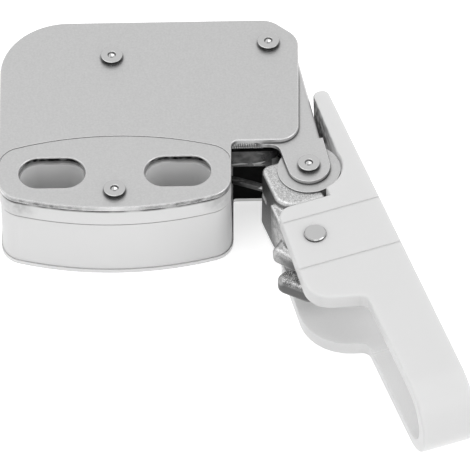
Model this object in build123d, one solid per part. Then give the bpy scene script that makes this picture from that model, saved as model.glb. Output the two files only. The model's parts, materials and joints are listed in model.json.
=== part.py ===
from build123d import *
import math
import os

os.makedirs("parts", exist_ok=True)

# Push to open catch for a flap or door: a riveted steel housing carries a swinging yoke,
# the yoke carries a cast claw, and a moulded bumper loop rides on the claw.
# Millimetres and degrees. The origin is the middle of the two screw slots on the
# underside, +Z up through the housing, +Y towards its rear, +X towards the claw.
# The catch is drawn sprung open, as it stands when it is not holding its striker.

# ---------------------------------------------------------------- driving dimensions
# Housing plates
PLATE_T = 1.0
PLATE_EDGE = 0.15
HOUSING_H = 19.5
HOUSING_RIGHT = 36.6
HOUSING_REAR = 40.6
REAR_CORNER_R = 13.5
REAR_CHAMFER_X = 5.6
REAR_CHAMFER_Y = 4.8
CHAMFER_CORNER_R = 5.0
RECESS_Y = 8.0
RECESS_CORNER_R = 1.5
BASE_RECESS_Y = 9.0
BASE_CORNER_R = 0.5
FRONT_CORNER_R = 4.0
LENS_HALF_L = 23.15
LENS_HALF_W = 9.6
LENS_ARC_R = 68.0
LENS_CORNER_R = 5.0
CREASE_W = 0.3
CREASE_DEPTH = 0.12
CREASE_FADE_Y = 3.2

# Screw slots: wide in the top for the screw head, narrow in the base for its shank
SLOT_PITCH = 25.0
SLOT_TRAVEL = 5.3
HEAD_SLOT_W = 8.0
SHANK_SLOT_W = 4.8
LINER_STEP = 0.25
POCKET_DEPTH = 0.6
POCKET_MARGIN = 0.8

# Moulded mounting block between the plates
COLLAR_H = 4.5
COLLAR_INSET = 0.1
BLOCK_INSET = 0.25
BLOCK_EDGE = 0.35

# Moulded inner frame
FRAME_INSET = 0.8
FRAME_WALL = 1.9
FRAME_RIGHT = 22.5
BLOCK_GAP = 0.2
RIVET_BOSS_R = 4.2
RIB_T = 1.6
RIB_SETBACK = 1.2

# Rivets and pins
RIVET_R = 1.5
RIVET_HEAD_R = 2.2
RIVET_HEAD_T = 1.0
RIVET_HEAD_EDGE = 0.25
RIVET_DIMPLE_R = 0.85
RIVET_DIMPLE_DEPTH = 0.5
REAR_RIVET_AT = (-0.8, 30.9)
FRONT_RIVET_AT = (0.0, -5.2)
HOLE_GAP = 0.03
RUNNING_GAP = 0.06
SIDE_GAP = 0.05

# Yoke, a steel channel that swings between the plates
YOKE_PIVOT_AT = (30.6, 34.1)
YOKE_LENGTH = 33.3
YOKE_ANGLE = -76.1
YOKE_T = 0.9
YOKE_PIVOT_END_R = 5.7
YOKE_CLAW_END_R = 4.2
WEB_START = 1.0
WEB_SHORT = 6.8
WEB_SET_IN = 0.5
WEB_BEND_R = 0.8
LUG_AT = (30.4, 11.6)
LUG_R = 3.9
LUG_HOLE_R = 0.9
LUG_FILLET_R = 2.4
STOP_RADIUS = 14.0
STOP_LEAD = 3.9
YOKE_SWING = 9.0
CLAW_SWING = 11.0
STOP_PIN_R = 1.2
SLEEVE_R = 2.3

# Claw casting
ARM_ANGLE = -70.6
WASHER_R = 6.3
WASHER_T = 0.3
LOBE_BACK = -4.2
LOBE_FRONT = 7.9
LOBE_SIDE = -8.9
LOBE_INNER = 0.6
LOBE_BACK_R = 1.8
LOBE_FRONT_R = 4.0
LOBE_DRAFT = 2.0
NECK_START = 4.5
NECK_SIDE = -9.8
NECK_SHOULDER = 13.5
NECK_WAIST = 17.5
NECK_WAIST_SIDE = -7.9
NECK_END_SIDE = -7.0
NECK_END = 25.5
NECK_INNER = 4.0
JAW_T = 3.9
JAW_BACK = 12.0
JAW_FRONT = 25.0
THROAT_FLOOR = -8.4
REAR_TOOTH = ((12.9, -11.0, 1.3), (15.9, -7.6, 2.2), (11.6, -8.9, 1.6))
FRONT_TOOTH = ((19.7, -11.1, 1.3), (20.6, -12.3, 1.7), (21.4, -11.8, 1.5), (23.8, -8.4, 2.4))
JAW_EDGE_R = 1.2
CAST_EDGE = 0.4
BUSH_R = 2.6
LINK_PIN_AT = (-2.6, -6.4)
LINK_PIN_R = 0.9
LINK_PIN_SEAT = 2.5

# Moulded bumper loop
BAND_T = 2.8
FLANGE_T = 3.2
ARM_OUTER = 10.35
BAND_INNER = -0.9
LOOP_CENTRE = 60.5
ARM_WALL_T = 2.0
ARM_WALL_END = 34.0
FINGER_TIP = -18.4
FINGER_TIP_INNER = 7.1
FINGER_ROOT_INNER = 6.4
FINGER_TIP_R = 1.5
HUB_GAP = 0.35
POCKET_SIDE = 1.3
FLANGE_BACK = 8.8
FLANGE_SIDE_BACK = -9.9
FLANGE_SIDE_FRONT = -11.8
FLANGE_FRONT = 33.5
FLANGE_FRONT_RAKE = 3.0
FLANGE_BACK_R = 2.8
TOP_FLANGE_FRONT_R = 5.5
LOW_FLANGE_FRONT_R = 10.5
FLANGE_ROOT_R = 2.0
SEAT_LINE_BACK = 12.8
SEAT_LINE_FRONT = 25.5
SEAT_LINE_W = 0.3
SEAT_LINE_DEPTH = 0.15
LOOP_EDGE_R = 0.4
BUMPER_RIVET_AT = (17.75, -5.0)
BUMPER_RIVET_R = 2.2
BUMPER_RIVET_PROUD = 0.6
BUMPER_RIVET_EDGE = 0.2

# Cam slider, link and pawl of the push-push lock
SLIDER_DROP = 7.1
SLIDER_T = 2.2
SLIDER_LEFT = -7.1
SLIDER_RIGHT = 32.5
SLIDER_FRONT = 10.2
SLIDER_REAR = 23.2
SLIDER_ARM_X = 20.5
SLIDER_ARM_REAR = 16.0
SLIDER_LIP_X = 22.6
SLIDER_LIP_W = 2.4
SLIDER_LIP_DROP = 2.2
SLIDER_CORNER_R = 1.5
GUIDE_R = 1.2
GUIDE_SHOULDER_R = 2.0
GUIDE_GAP = 0.1
GUIDE_SPAN = 20.0
GUIDE_LEFT_X = -3.0
GUIDE_Y = 21.0
SLIDER_PIN_AT = (3.3, 12.6)
SLIDER_PIN_R = 1.2
LINK_T = 1.0
LINK_END_R = 2.1
LINK_WAIST_W = 1.2
LINK_SLACK = 0.3
LINK_PASS = 0.4
PAWL_POST_AT = (-15.6, 18.0)
PAWL_LENGTH = 20.0
PAWL_T = 1.2
PAWL_W = 2.4
PAWL_LIFT = 0.3
FOLLOWER_R = 0.5
FOLLOWER_GAP = 0.18
TRACK_DEPTH = 1.4
TRACK_SPREAD = 1.8
TRACK_NOTCH_BACK = 0.9

# Return spring
RETURN_WIRE = 0.45
RETURN_R = 1.7
RETURN_LEG = 1.0
SPRING_HOLE_INSET = 2.2

# ---------------------------------------------------------------- derived positions
TOP_Z = HOUSING_H - PLATE_T
WEB_LENGTH = YOKE_LENGTH - WEB_SHORT - WEB_START
MID_Z = HOUSING_H / 2
HEAD_SLOT_L = HEAD_SLOT_W + SLOT_TRAVEL
SHANK_SLOT_L = SHANK_SLOT_W + SLOT_TRAVEL
EAR_LOW_Z = PLATE_T + SIDE_GAP
EAR_HIGH_Z = TOP_Z - SIDE_GAP - YOKE_T
WASHER_LOW_Z = EAR_LOW_Z + YOKE_T + SIDE_GAP
WASHER_HIGH_Z = EAR_HIGH_Z - SIDE_GAP - WASHER_T
HUB_LOW_Z = WASHER_LOW_Z + WASHER_T + SIDE_GAP
HUB_HIGH_Z = WASHER_HIGH_Z - SIDE_GAP
LOOP_LOW_Z = PLATE_T
LOOP_HIGH_Z = TOP_Z
LOOP_H = LOOP_HIGH_Z - LOOP_LOW_Z
SLIDER_Z = TOP_Z - SLIDER_DROP
SLIDER_TOP_Z = SLIDER_Z + SLIDER_T
LINK_Z = SLIDER_Z - GUIDE_GAP - LINK_T
RETURN_Z = SLIDER_TOP_Z + SIDE_GAP + RETURN_R
LINK_PIN_TOP_Z = LINK_Z + LINK_T + LINK_PIN_SEAT

yoke_frame = Location((*YOKE_PIVOT_AT, 0), (0, 0, YOKE_ANGLE))
claw_pivot = (
    YOKE_PIVOT_AT[0] + YOKE_LENGTH * math.cos(math.radians(YOKE_ANGLE)),
    YOKE_PIVOT_AT[1] + YOKE_LENGTH * math.sin(math.radians(YOKE_ANGLE)),
)
claw_frame = Location((*claw_pivot, 0), (0, 0, ARM_ANGLE))
link_pin_xyz = claw_frame * Pos(*LINK_PIN_AT, 0)
link_pin_at = (link_pin_xyz.position.X, link_pin_xyz.position.Y)


def closed_link_pin():
    """Where the link pin stands when yoke and claw are swung fully home."""
    yoke_turn = math.radians(YOKE_ANGLE - YOKE_SWING)
    arm_turn = math.radians(ARM_ANGLE - YOKE_SWING - CLAW_SWING)
    home_x = YOKE_PIVOT_AT[0] + YOKE_LENGTH * math.cos(yoke_turn)
    home_y = YOKE_PIVOT_AT[1] + YOKE_LENGTH * math.sin(yoke_turn)
    pin_x = home_x + LINK_PIN_AT[0] * math.cos(arm_turn) - LINK_PIN_AT[1] * math.sin(arm_turn)
    pin_y = home_y + LINK_PIN_AT[0] * math.sin(arm_turn) + LINK_PIN_AT[1] * math.cos(arm_turn)
    return (pin_x, pin_y)


def closing_stroke():
    """How far the slider is drawn to the left by that time."""
    pin_x, pin_y = closed_link_pin()
    link_length = math.dist(link_pin_at, SLIDER_PIN_AT)
    reach = math.sqrt(link_length**2 - (pin_y - SLIDER_PIN_AT[1]) ** 2)
    return SLIDER_PIN_AT[0] - (pin_x - reach)


STROKE = closing_stroke()
stop_angle = math.radians(YOKE_ANGLE - STOP_LEAD)
stop_pin_at = (
    YOKE_PIVOT_AT[0] + STOP_RADIUS * math.cos(stop_angle),
    YOKE_PIVOT_AT[1] + STOP_RADIUS * math.sin(stop_angle),
)


# ---------------------------------------------------------------- helpers
def slab(face, low, high):
    """Flat face drawn on the XY plane, raised into a solid from low to high."""
    return Pos(0, 0, low) * extrude(face, high - low)


def post(at, radius, low, high):
    """Round bar standing at a point."""
    return Pos(at[0], at[1], low) * Cylinder(
        radius, high - low, align=(Align.CENTER, Align.CENTER, Align.MIN)
    )


def hull_of(*discs):
    """Flat outline stretched round several discs, each given as x, y and radius."""
    edges = ShapeList()
    for x, y, radius in discs:
        edges += (Pos(x, y) * Circle(radius)).edges()
    return make_hull(edges)


def round_corner(face, at, radius):
    """Round the one corner of a flat outline that lies at a point."""
    corner = face.vertices().sort_by_distance((at[0], at[1], 0))[0]
    return fillet([corner], radius)


def save(solid, name):
    """Write one piece under its node name."""
    solid.label = name
    export_step(solid, f"parts/{name}.step")


# ---------------------------------------------------------------- housing outlines
def lens_face(inset=0.0):
    """Lens-shaped front of the housing: two long arcs closed by short rounded ends."""
    arc_r = LENS_ARC_R - inset
    arc_shift = LENS_ARC_R - LENS_HALF_W
    rear_arc = Pos(0, -arc_shift) * Circle(arc_r)
    front_arc = Pos(0, arc_shift) * Circle(arc_r)
    ends = Rectangle(2 * (LENS_HALF_L - inset), 4 * LENS_HALF_W)
    face = rear_arc & front_arc & ends
    return fillet(face.vertices(), LENS_CORNER_R - inset)


def housing_face(recess_y=RECESS_Y, corner_r=RECESS_CORNER_R):
    """Outline of a plate: a square back with a recess at the claw, and the lens front."""
    left = -LENS_HALF_L
    back = Polygon(
        (left, 0),
        (LENS_HALF_L, 0),
        (LENS_HALF_L, recess_y),
        (HOUSING_RIGHT, recess_y),
        (HOUSING_RIGHT, HOUSING_REAR - REAR_CHAMFER_Y),
        (HOUSING_RIGHT - REAR_CHAMFER_X, HOUSING_REAR),
        (left, HOUSING_REAR),
        align=None,
    )
    back = round_corner(back, (left, HOUSING_REAR), REAR_CORNER_R)
    back = round_corner(back, (HOUSING_RIGHT, recess_y), FRONT_CORNER_R)
    back = round_corner(back, (LENS_HALF_L, recess_y), corner_r)
    back = round_corner(back, (HOUSING_RIGHT, HOUSING_REAR - REAR_CHAMFER_Y), CHAMFER_CORNER_R)
    back = round_corner(back, (HOUSING_RIGHT - REAR_CHAMFER_X, HOUSING_REAR), CHAMFER_CORNER_R)
    return back + lens_face()


def slot_pair(length, width):
    """The two screw slots, side by side along X."""
    slot = SlotOverall(length, width)
    return Pos(-SLOT_PITCH / 2, 0) * slot + Pos(SLOT_PITCH / 2, 0) * slot


def countersink(at, gap=0.0):
    """Cone for a rivet tail that is spread flush with the underside."""
    depth = RIVET_HEAD_R - RIVET_R
    cone = Cone(RIVET_HEAD_R + gap, RIVET_R + gap, depth, align=(Align.CENTER, Align.CENTER, Align.MIN))
    return Pos(at[0], at[1], 0) * cone


def riveted(at, low, seat):
    """Rivet shank from low to its seat, with a round head above that has a centre punch dimple."""
    shank = post(at, RIVET_R, low, seat)
    head = post(at, RIVET_HEAD_R, seat, seat + RIVET_HEAD_T)
    head = chamfer(head.edges().group_by(Axis.Z)[-1], RIVET_HEAD_EDGE)
    dimple = Cone(0, RIVET_DIMPLE_R, RIVET_DIMPLE_DEPTH, align=(Align.CENTER, Align.CENTER, Align.MAX))
    return shank + head - Pos(at[0], at[1], seat + RIVET_HEAD_T) * dimple


def housing_rivet(at):
    """Rivet that clamps the whole housing, headed above and flush below."""
    return riveted(at, 0, HOUSING_H) + countersink(at)


def link_sweep(radius):
    """Ground that the control link covers between its open and closed positions."""
    return hull_of(
        (*SLIDER_PIN_AT, radius),
        (SLIDER_PIN_AT[0] - STROKE, SLIDER_PIN_AT[1], radius),
        (*link_pin_at, radius),
        (*closed_link_pin(), radius),
    )


HOUSING_RIVETS = (REAR_RIVET_AT, FRONT_RIVET_AT, YOKE_PIVOT_AT)


# ---------------------------------------------------------------- housing
def make_top_plate():
    """Upper plate, with head slots and a crease pressed along the rear of the lens."""
    plate = slab(housing_face() - slot_pair(HEAD_SLOT_L, HEAD_SLOT_W), TOP_Z, HOUSING_H)
    plate = chamfer(plate.edges().group_by(Axis.Z)[-1], PLATE_EDGE)
    for at in HOUSING_RIVETS:
        plate -= post(at, RIVET_R + HOLE_GAP, TOP_Z, HOUSING_H)
    crease = lens_face(-CREASE_W / 2) - lens_face(CREASE_W / 2)
    behind = Pos(0, CREASE_FADE_Y) * Rectangle(
        2 * LENS_HALF_L - 2 * CREASE_W, 2 * LENS_HALF_W, align=(Align.CENTER, Align.MIN)
    )
    return plate - slab(crease & behind, HOUSING_H - CREASE_DEPTH, HOUSING_H)


def make_bottom_plate():
    """Lower plate, with shank slots and countersunk rivet holes."""
    face = housing_face(BASE_RECESS_Y, BASE_CORNER_R) - slot_pair(SHANK_SLOT_L, SHANK_SLOT_W)
    plate = slab(face, 0, PLATE_T)
    plate = chamfer(plate.edges().group_by(Axis.Z)[0], PLATE_EDGE)
    for at in HOUSING_RIVETS:
        plate -= post(at, RIVET_R + HOLE_GAP, 0, PLATE_T)
        plate -= countersink(at, HOLE_GAP)
    return plate


def make_mounting_block():
    """White moulded block that fills the lens: a collar above, slightly set in below it."""
    collar = slab(lens_face(COLLAR_INSET), TOP_Z - COLLAR_H, TOP_Z)
    body = slab(lens_face(BLOCK_INSET), PLATE_T, TOP_Z - COLLAR_H)
    rims = collar.edges().group_by(Axis.Z)[0] + collar.edges().group_by(Axis.Z)[-1]
    collar = chamfer(rims, BLOCK_EDGE)
    block = collar + body
    liner = slot_pair(HEAD_SLOT_L - 2 * LINER_STEP, HEAD_SLOT_W - 2 * LINER_STEP)
    block -= slab(liner, PLATE_T, TOP_Z)
    pocket = slot_pair(HEAD_SLOT_L + 2 * POCKET_MARGIN, HEAD_SLOT_W + 2 * POCKET_MARGIN)
    block -= slab(pocket, TOP_Z - POCKET_DEPTH, TOP_Z)
    block -= slab(link_sweep(LINK_WAIST_W / 2 + LINK_PASS), LINK_Z - LINK_PASS, LINK_Z + LINK_T + LINK_PASS)
    return block - post(FRONT_RIVET_AT, RIVET_R + HOLE_GAP, PLATE_T, TOP_Z)


def make_inner_frame():
    """Black moulded wall round the rear of the housing, with a ribbed boss for the rear rivet."""
    outline = offset(housing_face(), -FRAME_INSET)
    hollow = offset(housing_face(), -FRAME_INSET - FRAME_WALL)
    wall = outline - hollow
    kept_right = Pos(FRAME_RIGHT, 0) * Rectangle(
        4 * HOUSING_RIGHT, 4 * HOUSING_REAR, align=(Align.MAX, Align.CENTER)
    )
    behind_lens = Pos(0, CREASE_FADE_Y) * Rectangle(
        4 * LENS_HALF_L, 2 * HOUSING_REAR, align=(Align.CENTER, Align.MIN)
    )
    wall = wall & kept_right & behind_lens
    wall -= lens_face(COLLAR_INSET - BLOCK_GAP)
    wall -= Pos(LENS_HALF_L, RECESS_Y) * Rectangle(LENS_HALF_L, 2 * LENS_HALF_W)
    boss = Pos(*REAR_RIVET_AT) * Circle(RIVET_BOSS_R)
    rib_length = HOUSING_REAR - FRAME_INSET - FRAME_WALL / 2 - REAR_RIVET_AT[1]
    rib = Pos(*REAR_RIVET_AT) * Rectangle(RIB_T, rib_length, align=(Align.CENTER, Align.MIN))
    side_length = LENS_HALF_L - FRAME_INSET - FRAME_WALL / 2 + REAR_RIVET_AT[0]
    side = Pos(*REAR_RIVET_AT) * Rectangle(side_length, RIB_T, align=(Align.MAX, Align.CENTER))
    frame = slab(wall + boss, PLATE_T, TOP_Z)
    frame += slab(rib + side, PLATE_T + RIB_SETBACK, TOP_Z - RIB_SETBACK)
    return frame - post(REAR_RIVET_AT, RIVET_R + HOLE_GAP, PLATE_T, TOP_Z)


# ---------------------------------------------------------------- yoke
def ear_face(with_lug):
    """One ear of the yoke, drawn along X from its pivot: a tapered link, with the spring's lug."""
    face = hull_of((0, 0, YOKE_PIVOT_END_R), (YOKE_LENGTH, 0, YOKE_CLAW_END_R))
    if with_lug:
        hook = yoke_frame.inverse() * Pos(*LUG_AT, 0)
        at = (hook.position.X, hook.position.Y)
        face = face + Pos(*at) * Circle(LUG_R)
        inner = [v for v in face.vertices() if v.Y < 0 and abs(v.X - at[0]) < 2 * LUG_R]
        face = fillet(inner, LUG_FILLET_R)
        face -= Pos(*at) * Circle(LUG_HOLE_R)
    slot = SlotArc(
        CenterArc((0, 0), STOP_RADIUS, -STOP_LEAD, YOKE_SWING),
        2 * (STOP_PIN_R + GUIDE_GAP),
    )
    face -= slot
    face -= Circle(RIVET_R + RUNNING_GAP)
    return face - Pos(YOKE_LENGTH, 0) * Circle(RIVET_R + HOLE_GAP)


def make_yoke():
    """Steel channel: two ears joined by a web that is bent down along their outer edge."""
    slope = math.asin((YOKE_PIVOT_END_R - YOKE_CLAW_END_R) / YOKE_LENGTH)
    low = slab(ear_face(False), EAR_LOW_Z, EAR_LOW_Z + YOKE_T)
    high = slab(ear_face(True), EAR_HIGH_Z, EAR_HIGH_Z + YOKE_T)
    web_edge = Rot(0, 0, -math.degrees(slope)) * Pos(0, YOKE_PIVOT_END_R - WEB_SET_IN)
    strip = Rectangle(WEB_LENGTH, YOKE_T, align=(Align.MIN, Align.MAX))
    web = slab(web_edge * Pos(WEB_START, 0) * strip, EAR_LOW_Z, EAR_HIGH_Z + YOKE_T)
    trim = Rectangle(WEB_LENGTH, 4 * YOKE_T, align=(Align.MIN, Align.MIN))
    beyond = slab(web_edge * Pos(WEB_START, 0) * trim, EAR_LOW_Z, EAR_HIGH_Z + YOKE_T)
    yoke = low + high + web - beyond
    straight = yoke.edges().filter_by(lambda edge: abs(edge.length - WEB_LENGTH) < 0.01)
    bends = straight.filter_by_position(Axis.Z, EAR_LOW_Z, EAR_LOW_Z)
    bends += straight.filter_by_position(Axis.Z, EAR_HIGH_Z + YOKE_T, EAR_HIGH_Z + YOKE_T)
    yoke = fillet(bends, WEB_BEND_R)
    return yoke_frame * yoke


def make_yoke_pivot():
    """Rivet through both plates that the yoke swings on."""
    return housing_rivet(YOKE_PIVOT_AT)


def make_pivot_sleeve():
    """Spacer tube on the yoke pivot, between the ears."""
    low = EAR_LOW_Z + YOKE_T + SIDE_GAP
    high = EAR_HIGH_Z - SIDE_GAP
    return post(YOKE_PIVOT_AT, SLEEVE_R, low, high) - post(YOKE_PIVOT_AT, RIVET_R + HOLE_GAP, low, high)


def make_claw_pin():
    """Rivet at the yoke's free end that the claw turns on."""
    return riveted(claw_pivot, EAR_LOW_Z, EAR_HIGH_Z + YOKE_T)


def make_washer(low):
    """Wide thrust washer between the claw's hub and an ear."""
    ring = post(claw_pivot, WASHER_R, low, low + WASHER_T)
    return ring - post(claw_pivot, RIVET_R + HOLE_GAP, low, low + WASHER_T)


# ---------------------------------------------------------------- claw
def lobe_face():
    """Square-sided lobe beside the claw's hub, which takes the link."""
    lobe = Pos(LOBE_BACK, LOBE_SIDE) * Rectangle(
        LOBE_FRONT - LOBE_BACK, LOBE_INNER - LOBE_SIDE, align=(Align.MIN, Align.MIN)
    )
    lobe = round_corner(lobe, (LOBE_BACK, LOBE_SIDE), LOBE_BACK_R)
    return round_corner(lobe, (LOBE_FRONT, LOBE_SIDE), LOBE_FRONT_R)


def neck_face():
    """Thick part of the claw that the bumper's flanges clasp."""
    return Polygon(
        (NECK_START, NECK_SIDE),
        (NECK_SHOULDER, NECK_SIDE),
        (NECK_WAIST, NECK_WAIST_SIDE),
        (NECK_END, NECK_END_SIDE),
        (NECK_END, NECK_INNER),
        (NECK_START, NECK_INNER),
        align=None,
    )


def jaw_face():
    """Two round-nosed teeth with the striker's throat between them."""
    rear_tooth = hull_of(*REAR_TOOTH)
    front_tooth = hull_of(*FRONT_TOOTH)
    root = Pos(JAW_BACK, THROAT_FLOOR) * Rectangle(
        JAW_FRONT - JAW_BACK, -THROAT_FLOOR, align=(Align.MIN, Align.MIN)
    )
    return rear_tooth + front_tooth + root


def make_claw_casting():
    """Zinc casting: full-height hub, thick neck between the flanges and a thin two-toothed jaw."""
    hub = post((0, 0), WASHER_R, HUB_LOW_Z, HUB_HIGH_Z)
    lobe = Pos(0, 0, HUB_HIGH_Z) * extrude(lobe_face(), HUB_LOW_Z - HUB_HIGH_Z, taper=-LOBE_DRAFT)
    hub += lobe
    hub = chamfer(hub.edges().group_by(Axis.Z)[-1], CAST_EDGE)
    neck = slab(neck_face(), LOOP_LOW_Z + FLANGE_T, LOOP_HIGH_Z - FLANGE_T)
    jaw = slab(jaw_face(), MID_Z - JAW_T / 2, MID_Z + JAW_T / 2)
    jaw = fillet(jaw.edges().group_by(Axis.Z)[-1] + jaw.edges().group_by(Axis.Z)[0], JAW_EDGE_R)
    casting = jaw + neck + hub
    casting -= post((0, 0), BUSH_R + HOLE_GAP, HUB_LOW_Z, HUB_HIGH_Z)
    casting -= post(BUMPER_RIVET_AT, BUMPER_RIVET_R + HOLE_GAP, LOOP_LOW_Z, LOOP_HIGH_Z)
    reach = LINK_END_R + LINK_SLACK + GUIDE_GAP
    open_side = Pos(LINK_PIN_AT[0] + reach, LINK_PIN_AT[1] + reach) * Rectangle(
        4 * LINK_END_R + LOBE_FRONT, 4 * LINK_END_R + LOBE_FRONT, align=(Align.MAX, Align.MAX)
    )
    open_side = round_corner(open_side, (LINK_PIN_AT[0] + reach, LINK_PIN_AT[1] + reach), reach)
    casting -= slab(open_side, LINK_Z - GUIDE_GAP, LINK_Z + LINK_T + GUIDE_GAP)
    casting -= post(LINK_PIN_AT, LINK_PIN_R + HOLE_GAP, HUB_LOW_Z, LINK_PIN_TOP_Z)
    return claw_frame * casting


def make_claw_bush():
    """Steel bush pressed into the hub, which runs on the claw pin."""
    bush = post((0, 0), BUSH_R, HUB_LOW_Z, HUB_HIGH_Z)
    bush -= post((0, 0), RIVET_R + RUNNING_GAP, HUB_LOW_Z, HUB_HIGH_Z)
    return claw_frame * bush


def make_link_pin():
    """Pin across the casting's slot that the control link hangs on."""
    return claw_frame * post(LINK_PIN_AT, LINK_PIN_R, HUB_LOW_Z, LINK_PIN_TOP_Z)


# ---------------------------------------------------------------- bumper loop
def flange_face(front_r):
    """Outline of one flange and its finger, drawn along the arm from the claw pivot."""
    face = Polygon(
        (FINGER_TIP, FINGER_TIP_INNER),
        (0, FINGER_ROOT_INNER),
        (0, POCKET_SIDE),
        (FLANGE_BACK, POCKET_SIDE),
        (FLANGE_BACK, FLANGE_SIDE_BACK),
        (FLANGE_FRONT, FLANGE_SIDE_FRONT),
        (FLANGE_FRONT + FLANGE_FRONT_RAKE, BAND_INNER),
        (LOOP_CENTRE, BAND_INNER),
        (LOOP_CENTRE, ARM_OUTER),
        (FINGER_TIP, ARM_OUTER),
        align=None,
    )
    face = round_corner(face, (FINGER_TIP, FINGER_TIP_INNER), FINGER_TIP_R)
    face = round_corner(face, (FINGER_TIP, ARM_OUTER), FINGER_TIP_R)
    face = round_corner(face, (FLANGE_BACK, FLANGE_SIDE_BACK), FLANGE_BACK_R)
    face = round_corner(face, (FLANGE_FRONT, FLANGE_SIDE_FRONT), front_r)
    face = round_corner(face, (FLANGE_FRONT + FLANGE_FRONT_RAKE, BAND_INNER), FLANGE_ROOT_R)
    return face - Circle(WASHER_R + HUB_GAP)


def make_bumper_loop():
    """White moulding: two flanges clasp the claw and run on as one band, bent back on itself."""
    flange_end = FLANGE_FRONT + FLANGE_FRONT_RAKE
    keep = Pos(FINGER_TIP, 0) * Rectangle(
        flange_end + BAND_T - FINGER_TIP, 4 * LOOP_H, align=(Align.MIN, Align.CENTER)
    )
    top = slab(flange_face(TOP_FLANGE_FRONT_R) & keep, LOOP_HIGH_Z - FLANGE_T, LOOP_HIGH_Z)
    low = slab(flange_face(LOW_FLANGE_FRONT_R) & keep, LOOP_LOW_Z, LOOP_LOW_Z + FLANGE_T)

    outer = Pos(LOOP_CENTRE, MID_Z) * Circle(LOOP_H / 2)
    inner = Pos(LOOP_CENTRE, MID_Z) * Circle(LOOP_H / 2 - BAND_T)
    run = LOOP_CENTRE - flange_end
    straight = Pos(flange_end, MID_Z)
    outer += straight * Rectangle(run, LOOP_H, align=(Align.MIN, Align.CENTER))
    inner += straight * Rectangle(run, LOOP_H - 2 * BAND_T, align=(Align.MIN, Align.CENTER))
    side_on = Plane((0, ARM_OUTER, 0), x_dir=(1, 0, 0), z_dir=(0, -1, 0))
    band = extrude(side_on * (outer - inner), ARM_OUTER - BAND_INNER)

    wall = Pos(0, ARM_OUTER) * Rectangle(
        2 * ARM_WALL_END, ARM_WALL_T, align=(Align.CENTER, Align.MAX)
    )
    wall_tip = Pos(FINGER_TIP + FINGER_TIP_R, 0) * Rectangle(
        ARM_WALL_END - FINGER_TIP - FINGER_TIP_R, 4 * ARM_OUTER, align=(Align.MIN, Align.CENTER)
    )
    spine = slab(wall & wall_tip, LOOP_LOW_Z, LOOP_HIGH_Z)
    behind_hub = Rectangle(2 * WASHER_R - FINGER_TIP, 4 * ARM_OUTER, align=(Align.MAX, Align.CENTER))
    finger_face = flange_face(TOP_FLANGE_FRONT_R) & behind_hub
    finger = slab(finger_face, LOOP_LOW_Z + FLANGE_T / 2, LOOP_HIGH_Z - FLANGE_T / 2)
    loop = top + low + band + spine
    rims = loop.edges().filter_by_position(Axis.Z, LOOP_HIGH_Z, LOOP_HIGH_Z)
    rims += loop.edges().filter_by_position(Axis.Z, LOOP_LOW_Z, LOOP_LOW_Z)
    loop = fillet(rims, LOOP_EDGE_R) + finger
    for line in (SEAT_LINE_BACK, SEAT_LINE_FRONT):
        groove = Pos(line, 0) * Rectangle(SEAT_LINE_W, 4 * ARM_OUTER)
        loop -= slab(groove, LOOP_HIGH_Z - SEAT_LINE_DEPTH, LOOP_HIGH_Z)
    loop -= post(BUMPER_RIVET_AT, BUMPER_RIVET_R + HOLE_GAP, LOOP_LOW_Z, LOOP_HIGH_Z)
    return claw_frame * loop


def make_bumper_rivet():
    """Plain round rivet that holds the bumper loop on the claw."""
    low = LOOP_LOW_Z - BUMPER_RIVET_PROUD
    high = LOOP_HIGH_Z + BUMPER_RIVET_PROUD
    rivet = post(BUMPER_RIVET_AT, BUMPER_RIVET_R, low, high)
    rivet = chamfer(rivet.edges().filter_by(GeomType.CIRCLE), BUMPER_RIVET_EDGE)
    return claw_frame * rivet


# ---------------------------------------------------------------- push-push lock
def track_leg(start, end):
    """One straight leg of the cam track, wide enough for the follower."""
    wide = FOLLOWER_R + FOLLOWER_GAP
    return hull_of((start[0], start[1], wide), (end[0], end[1], wide))


def make_cam_slider():
    """Dark steel slider with the heart-shaped track that the pawl's follower runs round."""
    face = Polygon(
        (SLIDER_LEFT, SLIDER_FRONT),
        (SLIDER_RIGHT, SLIDER_FRONT),
        (SLIDER_RIGHT, SLIDER_ARM_REAR),
        (SLIDER_ARM_X, SLIDER_ARM_REAR),
        (SLIDER_ARM_X, SLIDER_REAR),
        (SLIDER_LEFT, SLIDER_REAR),
        align=None,
    )
    face = fillet(face.vertices(), SLIDER_CORNER_R)
    guide_slot = SlotOverall(2 * (GUIDE_R + GUIDE_GAP) + STROKE, 2 * (GUIDE_R + GUIDE_GAP))
    for x in (GUIDE_LEFT_X, GUIDE_LEFT_X + GUIDE_SPAN):
        face -= Pos(x + STROKE / 2, GUIDE_Y) * guide_slot
    slider = slab(face, SLIDER_Z, SLIDER_TOP_Z)
    lip = Pos(SLIDER_LIP_X, SLIDER_FRONT) * Rectangle(
        SLIDER_RIGHT - SLIDER_CORNER_R - SLIDER_LIP_X, SLIDER_LIP_W, align=(Align.MIN, Align.MIN)
    )
    slider += slab(lip, SLIDER_Z - SLIDER_LIP_DROP, SLIDER_Z)

    home = (PAWL_POST_AT[0] + PAWL_LENGTH, PAWL_POST_AT[1])
    far = home[0] + STROKE
    notch = (far - TRACK_NOTCH_BACK, home[1])
    turns = (home, (far, home[1] + TRACK_SPREAD), notch, (far, home[1] - TRACK_SPREAD), home)
    track = track_leg(turns[0], turns[1])
    for start, end in zip(turns[1:], turns[2:]):
        track += track_leg(start, end)
    slider -= slab(track, SLIDER_TOP_Z - TRACK_DEPTH, SLIDER_TOP_Z)
    slider -= post(SLIDER_PIN_AT, SLIDER_PIN_R + HOLE_GAP, SLIDER_Z, SLIDER_TOP_Z)
    hook = (SLIDER_LEFT + SPRING_HOLE_INSET, LUG_AT[1])
    return slider - post(hook, RETURN_WIRE, SLIDER_Z, SLIDER_TOP_Z)


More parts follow.
